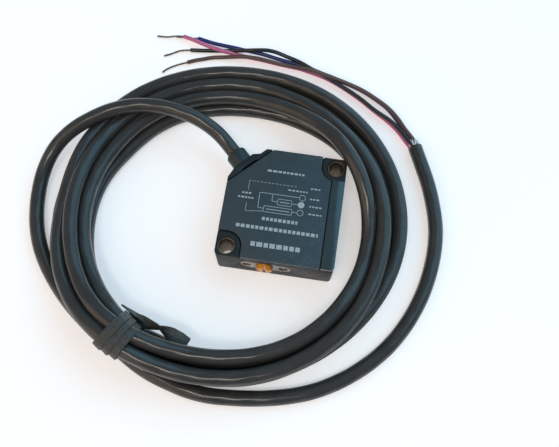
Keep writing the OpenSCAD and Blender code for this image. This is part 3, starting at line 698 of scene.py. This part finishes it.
def strands(name, pts, wires=7, wire_r=0.10, spread=0.19):
    """The bare end of a core: fine wires twisted together, loosening a little at the tip."""
    base = respace(spline(pts, 12), 0.28)
    t, a, b = frames(base)
    s = np.linspace(0, 1, len(base))
    bm = bmesh.new()
    uv = bm.loops.layers.uv.new("UVMap")
    for w in range(wires):
        rad = 0.0 if w == 0 else spread
        flare = rad * (1 + 0.55 * np.clip(s - 0.72, 0, 1) / 0.28 * (0.6 + 0.4 * math.sin(w * 2.1)))
        ph = 2 * np.pi * (w / max(1, wires - 1)) + s * 2 * np.pi * 1.6
        line = base + flare[:, None] * (np.cos(ph)[:, None] * a + np.sin(ph)[:, None] * b)
        cut = len(line) - int(2 + 2 * ((w * 37) % 3))
        line = line[:cut]
        line[:, 2] = np.maximum(line[:, 2], wire_r)
        tt, aa, bb = frames(line)
        th = 2 * np.pi * np.arange(8) / 8
        ring = line[:, None, :] + wire_r * (np.cos(th)[None, :, None] * aa[:, None, :] + np.sin(th)[None, :, None] * bb[:, None, :])
        vs = [[bm.verts.new(ring[i, k] * MM) for k in range(8)] for i in range(len(line))]
        for i in range(len(line) - 1):
            for k in range(8):
                f = bm.faces.new((vs[i][k], vs[i][(k + 1) % 8], vs[i + 1][(k + 1) % 8], vs[i + 1][k]))
                f.smooth = True
        bm.faces.new(vs[0][::-1])
        bm.faces.new(vs[-1])
    bmesh.ops.recalc_face_normals(bm, faces=bm.faces)
    me = bpy.data.meshes.new(name)
    bm.to_mesh(me)
    bm.free()
    return link(name, me, M["strand"])


for name, pts in CORES.items():
    line = soften(respace(spline(pts, 14), 0.5), 4)
    line[:, 2] = np.maximum(line[:, 2], 0.66)
    line = respace(line, 0.6) * MM
    o = tube("core_" + name, line, 0.65 * MM, M["core_" + name], sides=16, ends=((0.5, 0.0003), (0.52, 0.0003)))
    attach(o, "sensor")
    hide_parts("wire_" + name)
    tip = strands("strands_" + name, BARE[name])
    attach(tip, "sensor")
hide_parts("bare_ends")


# ----------------------------------------------------------------- filler
def filler():
    """Pale cotton strings that fill the jacket round the cores, cut a little proud of it."""
    end, out = lead_line[-1] / MM, (lead_line[-1] - lead_line[-4])
    out = out / np.linalg.norm(out)
    up = np.array([0, 0, 1.0])
    side = np.cross(up, out)
    bm = bmesh.new()
    g = np.random.default_rng(3)
    for w in range(40):
        ang, rad = g.uniform(0, 2 * math.pi), 1.45 * math.sqrt(g.uniform(0, 1))
        base = end - out * 0.5 + side * rad * math.cos(ang) + up * rad * math.sin(ang)
        long = g.uniform(1.2, 3.0)
        bend = side * g.uniform(-0.7, 0.5) + up * g.uniform(0.0, 0.7)
        line = np.array([base + out * long * s + bend * s * s for s in np.linspace(0, 1, 6)])
        t, a, b = frames(line)
        r = 0.21 * np.array([1, 1, 1, 0.95, 0.8, 0.45])
        th = 2 * np.pi * np.arange(7) / 7
        ring = line[:, None, :] + r[:, None, None] * (np.cos(th)[None, :, None] * a[:, None, :] + np.sin(th)[None, :, None] * b[:, None, :])
        vs = [[bm.verts.new(ring[i, k] * MM) for k in range(7)] for i in range(6)]
        for i in range(5):
            for k in range(7):
                bm.faces.new((vs[i][k], vs[i][(k + 1) % 7], vs[i + 1][(k + 1) % 7], vs[i + 1][k])).smooth = True
        bm.faces.new(vs[0][::-1])
        bm.faces.new(vs[-1])
    bmesh.ops.recalc_face_normals(bm, faces=bm.faces)
    me = bpy.data.meshes.new("lead_filler")
    bm.to_mesh(me)
    bm.free()
    return link("lead_filler", me, M["filler"])


fill = filler()
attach(fill, "sensor")


# -------------------------------------------------------------- twist tie
def ribbon(name, line, normal, width, thick, mat, twist=None, widths=None):
    """A flat strip along a line, lying on the surface whose outward direction is given, with rounded edges."""
    n = len(line)
    t = np.gradient(line, axis=0)
    t /= np.linalg.norm(t, axis=1)[:, None]
    nr = normal - t * (normal * t).sum(1)[:, None]
    nr /= np.linalg.norm(nr, axis=1)[:, None]
    wd = np.cross(t, nr)
    if twist is not None:
        c, s = np.cos(twist)[:, None], np.sin(twist)[:, None]
        nr, wd = c * nr + s * wd, c * wd - s * nr
    w = np.full(n, width) if widths is None else np.asarray(widths)
    prof = [(-0.5, 0.0), (-0.46, 0.42), (-0.30, 0.5), (-0.1, 0.46), (0, 0.6), (0.1, 0.46), (0.30, 0.5), (0.46, 0.42), (0.5, 0.0),
            (0.46, -0.42), (0.30, -0.5), (0, -0.5), (-0.30, -0.5), (-0.46, -0.42)]
    bm = bmesh.new()
    uv = bm.loops.layers.uv.new("UVMap")
    dist = np.concatenate([[0], np.cumsum(np.linalg.norm(np.diff(line, axis=0), axis=1))]) * MM
    vs = [[bm.verts.new((line[i] + wd[i] * x * w[i] + nr[i] * y * thick) * MM) for x, y in prof] for i in range(n)]
    k_n = len(prof)
    for i in range(n - 1):
        for k in range(k_n):
            k2 = (k + 1) % k_n
            f = bm.faces.new((vs[i][k], vs[i][k2], vs[i + 1][k2], vs[i + 1][k]))
            f.smooth = True
            for loop, (kk, ii) in zip(f.loops, ((k, i), (k2, i), (k2, i + 1), (k, i + 1))):
                loop[uv].uv = (prof[kk][0] + 0.5, dist[ii])
    bm.faces.new(vs[0][::-1])
    bm.faces.new(vs[-1])
    bmesh.ops.recalc_face_normals(bm, faces=bm.faces)
    me = bpy.data.meshes.new(name)
    bm.to_mesh(me)
    bm.free()
    return me


def hull_outline(centres, r, n=120):
    """The tight outline round circles of radius r, as n evenly spaced points with outward directions."""
    pts = np.array([(c[0] + r * math.cos(a), c[1] + r * math.sin(a)) for c in centres
                    for a in np.linspace(0, 2 * math.pi, 48, endpoint=False)])
    pts = pts[np.lexsort((pts[:, 1], pts[:, 0]))]

    def half(points):
        out = []
        for q in points:
            while len(out) >= 2 and ((out[-1][0] - out[-2][0]) * (q[1] - out[-2][1])
                                     - (out[-1][1] - out[-2][1]) * (q[0] - out[-2][0])) <= 0:
                out.pop()
            out.append(q)
        return out[:-1]
    h = np.array(half(pts) + half(pts[::-1]))
    h = np.vstack([h, h[:1]])
    along = np.concatenate([[0], np.cumsum(np.linalg.norm(np.diff(h, axis=0), axis=1))])
    at = np.linspace(0, along[-1], n, endpoint=False)
    out = np.stack([np.interp(at, along, h[:, 0]), np.interp(at, along, h[:, 1])], 1)
    for _ in range(4):
        out = 0.25 * np.roll(out, 1, 0) + 0.5 * out + 0.25 * np.roll(out, -1, 0)
    return out


def bundle_at(degrees):
    """Where the lead's passes cross the half-plane at an angle round the coil: (distance from hub, height)."""
    line = lead_line / MM
    d = line[:, :2] - HUB
    ang, rad = np.degrees(np.arctan2(d[:, 1], d[:, 0])), np.hypot(d[:, 0], d[:, 1])
    off = (ang - degrees + 180) % 360 - 180
    out = []
    for j in np.flatnonzero((off[:-1] * off[1:] <= 0) & (np.abs(off[:-1]) < 20)):
        if 35 < rad[j] < 58:
            out.append((rad[j], line[j, 2]))
    return out


def make_tie():
    """Three turns of strip round the bundle: two side by side, the last across both."""
    section = bundle_at(TIE)
    n = 110
    rows, normals = [], []
    for i in range(3 * n + 1):
        u = i / n
        w = 2 * math.pi * u
        # each turn keeps its place over the top and moves across low on the inside
        turn = np.interp(u, [0, 0.9, 1.15, 1.9, 2.15, 3], [0, 0, 1, 1, 2, 2])
        off = float(np.interp(turn, [0, 1, 2], [2.0, -0.3, -2.2])) + 0.16 * math.sin(w + 0.6)
        lift = float(np.interp(turn, [0, 1, 2], [0.22, 0.58, 0.86])) + 0.05 * math.sin(w * 1.5 + 1.0)
        oc = hull_outline(section, D / 2 + lift, n)
        f = ((u + 0.04) % 1.0) * n
        k = int(f) % n
        q = oc[k] * (1 - (f - int(f))) + oc[(k + 1) % n] * (f - int(f))
        c = oc.mean(0)
        tg = oc[(k + 2) % n] - oc[(k - 2) % n]
        nm = np.array([tg[1], -tg[0]])
        if nm @ (q - c) < 0:
            nm = -nm
        nm = nm / np.linalg.norm(nm)
        # the plane of the tie leans a little along the bundle
        ang = math.radians(TIE) + (off - 0.8 + 0.226 * (q[1] - 3)) / 46.2
        er = np.array([math.cos(ang), math.sin(ang), 0])
        rows.append(np.array([HUB[0], HUB[1], 0]) + er * q[0] + np.array([0, 0, max(q[1], 0.42)]))
        normals.append(er * nm[0] + np.array([0, 0, nm[1]]))
    line = soften(np.array(rows), 3)
    s = np.arange(len(line)) / n
    widths = np.interp(s, [0, 1.9, 2.2, 3], [3.5, 3.4, 2.9, 2.8]) + 0.10 * np.sin(s * 9.0) + 0.07 * np.sin(s * 23.0 + 1)
    tilt = np.radians(-4 + 3 * np.sin(s * 7.1 + 0.4) + 2 * np.sin(s * 15.3))
    return ribbon("tie_band", line, np.array(normals), 3.7, 0.40, M["tie"], twist=tilt, widths=widths)


tie_me = make_tie()
tails = []


def tail(points, normal, width, twist=None, widths=None):
    line = spline(points, 10)
    n = len(line)
    nrm = np.repeat(np.array([normal], float), n, 0)
    tw = None if twist is None else np.interp(np.linspace(0, 1, n), np.linspace(0, 1, len(twist)), np.radians(twist))
    wd = None if widths is None else np.interp(np.linspace(0, 1, n), np.linspace(0, 1, len(widths)), widths)
    return ribbon("tie_tail", line, nrm, width, 0.42, M["tie"], tw, wd)


# the two ends come out of the band on the inside of the coil, twisted together once; one runs on to a flat tip
tails.append(tail([(-41.4, -40.6, 10.4), (-40.4, -39.2, 9.6), (-38.6, -38.1, 8.7), (-36.4, -37.9, 8.3), (-34.0, -38.0, 8.1),
                   (-31.2, -38.5, 7.9), (-28.6, -38.9, 7.6), (-26.8, -39.5, 7.5), (-24.9, -40.3, 7.5), (-22.4, -41.1, 7.5),
                   (-20.0, -41.9, 7.6)], (0, 0, 1), 4.0,
                  twist=[-35, 20, 38, 24, 22, 48, 78, 45, 6, -8, -14], widths=[3.6, 3.8, 3.9, 3.9, 3.8, 3.6, 3.4, 3.6, 4.0, 3.9, 3.0]))
tails.append(tail([(-41.8, -41.4, 10.2), (-39.4, -39.8, 9.2), (-36.6, -38.8, 8.0), (-34.2, -38.5, 7.6), (-32.9, -38.1, 8.0),
                   (-33.6, -37.3, 8.7), (-35.4, -36.5, 8.9), (-37.6, -35.5, 8.8), (-40.1, -34.3, 8.6)],
                  (0, 0, 1), 3.2, twist=[-20, 10, 35, 60, 80, 70, 66, 70, 76], widths=[3.4, 3.4, 3.2, 2.8, 2.2, 2.6, 3.0, 2.6, 0.9]))
bm = bmesh.new()
for me in [tie_me] + tails:
    bm.from_mesh(me)
me = bpy.data.meshes.new("tie_strip")
bm.to_mesh(me)
bm.free()
for m_ in [tie_me] + tails:
    bpy.data.meshes.remove(m_)
tie = link("tie_strip", me, M["tie"])
smooth(me)
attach(tie, "sensor")
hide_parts("twist_tie")

# ---------------------------------------------------------- sensor shells
case = shell("main_case", "case_shell", M["case"], 0.22)
cover = shell("label_cover", "cover_shell", M["label"], 0.16)
window = shell("optical_window", "window_shell", M["window"], 0.3)
panel = shell("indicator_window", "panel_shell", M["panel"], 0.08, 2)
boot = shell("cable_boot", "boot_shell", M["boot"], 0.3, 4)
sleeves = shell("mounting_sleeves", "sleeve_shells", M["sleeve"], 0.12, 3)
knob = shell("adjuster_knob", "knob_shell", M["knob"], 0.07, 2, body="adjuster")
lamp_a = shell("operation_led", "lamp_operation", M["lamp_red"], 0.05, 2)
lamp_b = shell("stability_led", "lamp_stability", M["lamp_green"], 0.05, 2)

KEPT = {
    "lens_holder": "holder", "emitter_lens": "lens", "receiver_lens": "lens", "optics_board": "board",
    "emitter_led": "led_clear", "receiver_photodiode": "photo", "main_board": "board", "board_pins": "gold",
    "control_ic": "ic", "output_transistor": "ic", "voltage_regulator": "ic", "power_capacitor": "cap",
    "chip_parts": "chips", "potentiometer_body": "pot", "potentiometer_rotor": "white", "adjuster_seal": "seal",
    "cable_clamp": "clamp", "inner_leads": "leads",
}
for node, key in KEPT.items():
    o = nodes[node]
    if not o.material_slots:
        o.data.materials.append(M[key])
    for s in o.material_slots:
        s.material = M[key]


# ------------------------------------------------------------- label print
def label_print():
    """Generic printed marks: a small block diagram and rows of plain dashes, no lettering."""
    bm = bmesh.new()
    z0, z1 = 12.99, 13.015

    def poly(pts):
        lo = [bm.verts.new((x * MM, y * MM, z0 * MM)) for x, y in pts]
        hi = [bm.verts.new((x * MM, y * MM, z1 * MM)) for x, y in pts]
        n = len(pts)
        bm.faces.new(hi)
        bm.faces.new(lo[::-1])
        for i in range(n):
            bm.faces.new((lo[i], lo[(i + 1) % n], hi[(i + 1) % n], hi[i]))

    def bar(x0, y0, x1, y1):
        poly([(x0, y0), (x1, y0), (x1, y1), (x0, y1)])

    def stroke(a, b, w=0.16):
        a, b = np.array(a, float), np.array(b, float)
        d = (b - a) / np.linalg.norm(b - a)
        s = np.array([-d[1], d[0]]) * w / 2
        a, b = a - d * w / 2, b + d * w / 2
        poly([tuple(a + s * -1), tuple(b + s * -1), tuple(b + s), tuple(a + s)])

    def ringed(cx, cy, r, w=0.16, n=28):
        for i in range(n):
            a0, a1 = 2 * math.pi * i / n, 2 * math.pi * (i + 1) / n
            poly([(cx + (r - w) * math.cos(a0), cy + (r - w) * math.sin(a0)), (cx + r * math.cos(a0), cy + r * math.sin(a0)),
                  (cx + r * math.cos(a1), cy + r * math.sin(a1)), (cx + (r - w) * math.cos(a1), cy + (r - w) * math.sin(a1))])

    def disc(cx, cy, r, n=28):
        poly([(cx + r * math.cos(2 * math.pi * i / n), cy + r * math.sin(2 * math.pi * i / n)) for i in range(n)])

    def frame_box(x0, y0, x1, y1, w=0.15):
        stroke((x0, y0), (x1, y0), w); stroke((x1, y0), (x1, y1), w)
        stroke((x1, y1), (x0, y1), w); stroke((x0, y1), (x0, y0), w)

    def row(x0, x1, y, h, seed, gap=0.34, lo=0.7, hi=1.5):
        """A line of dashes of uneven length in the place of writing."""
        g = np.random.default_rng(seed)
        x = x0
        while x < x1 - 0.3:
            long = min(g.uniform(lo, hi), x1 - x)
            bar(x, y - h / 2, x + long, y + h / 2)
            x += long + gap

    # a supply rail, a switched rail and two boxes, as on any sensor's connection plan
    for i in range(13):
        stroke((-10.5 + i * 1.1, 6.3), (-9.95 + i * 1.1, 6.3), 0.13)
    stroke((-10.5, 6.3), (-10.4, 3.4), 0.13)
    stroke((-10.35, -0.6), (-10.3, -3.1), 0.13)
    stroke((-10.3, -3.1), (-5.2, -2.5), 0.13)
    stroke((-7.0, 3.1), (4.2, 3.1)); stroke((-7.0, 3.1), (-6.9, -1.6)); stroke((-6.9, -1.6), (-5.2, -1.6))
    stroke((-3.2, 3.1), (-3.2, 0.9)); stroke((-3.2, 0.9), (-1.5, 0.9)); stroke((2.5, 0.9), (4.3, 0.9))
    stroke((2.9, -1.6), (4.2, -1.6))
    frame_box(-1.5, 0.0, 2.5, 1.8)
    frame_box(-5.2, -2.6, 2.9, -0.8)
    for x0, x1, y in ((-0.9, 1.9, 0.9), (-4.4, 2.2, -1.7)):
        bar(x0, y - 0.11, x1, y + 0.11)
    ringed(5.4, 3.1, 0.95); disc(5.3, 0.9, 0.95); ringed(5.3, -1.5, 0.95)
    row(7.4, 10.6, 6.3, 0.42, 1, 0.3, 0.5, 0.9); row(7.6, 10.7, 3.1, 0.42, 2, 0.3, 0.5, 0.9)
    row(7.7, 11.2, 0.8, 0.42, 3, 0.3, 0.5, 0.9); row(7.7, 11.5, -1.5, 0.42, 4, 0.3, 0.5, 0.9)
    row(-12.0, -9.3, 2.4, 0.5, 11, 0.3, 0.5, 0.9); row(-13.0, -8.6, 1.0, 0.5, 12, 0.3, 0.5, 0.9)
    row(1.0, 6.6, 5.0, 0.42, 13, 0.3, 0.5, 0.9)
    row(-5.8, 5.3, 10.2, 0.62, 5, 0.34, 0.6, 1.4)
    row(-5.2, 5.0, -4.7, 0.95, 6, 0.34, 0.7, 1.0)
    row(-12.2, 11.2, -7.6, 1.0, 7, 0.36, 0.8, 1.15)
    row(-7.2, 6.8, -12.5, 1.35, 8, 0.4, 1.0, 1.7)
    bmesh.ops.recalc_face_normals(bm, faces=bm.faces)
    me = bpy.data.meshes.new("label_print")
    bm.to_mesh(me)
    bm.free()
    return link("label_print", me, M["ink"])


marks = label_print()
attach(marks, "sensor")

# ------------------------------------------------------------ floor, light
me = bpy.data.meshes.new("floor")
s = 3.0
me.from_pydata([(-s, -s, 0), (s, -s, 0), (s, s, 0), (-s, s, 0)], [], [(0, 1, 2, 3)])
floor_m = Mat("floor_paper")
floor_m.set(color=floor_m.mix(floor_m.rng(floor_m.noise(30, 3), 0, 1), (0.90, 0.90, 0.90), (0.92, 0.92, 0.92)), rough=0.95, spec=0.1,
            emit=(1.0, 0.965, 0.945), emit_s=0.40)
floor = link("floor", me, floor_m.m)

world = bpy.data.worlds.new("studio")
scene.world = world
world.use_nodes = True
world.node_tree.nodes["Background"].inputs[0].default_value = (0.80, 0.88, 1.0, 1)
world.node_tree.nodes["Background"].inputs[1].default_value = 0.30


def area(name, where, aim, size, power, color):
    d = bpy.data.lights.new(name, "AREA")
    d.shape = "RECTANGLE"
    d.size, d.size_y = size
    d.energy = power
    d.color = color
    o = bpy.data.objects.new(name, d)
    scene.collection.objects.link(o)
    o.location = where
    o.rotation_mode = "QUATERNION"
    o.rotation_quaternion = (Vector(aim) - Vector(where)).to_track_quat("-Z", "Y")
    return o


area("sky_cool", (0.95, 0.90, 1.00), (0, 0, 0), (2.2, 2.2), 21.0, (0.25, 0.70, 1.0))
area("sky_warm", (-0.95, -0.85, 0.75), (0, 0, 0), (1.6, 1.6), 8.5, (1.0, 0.66, 0.42))
area("lamp", (-0.10, -0.42, 1.00), (0, 0, 0), (0.34, 0.20), 2.2, (1.0, 0.93, 0.82))
scene.view_settings.view_transform = "Standard"
scene.view_settings.look = "None"
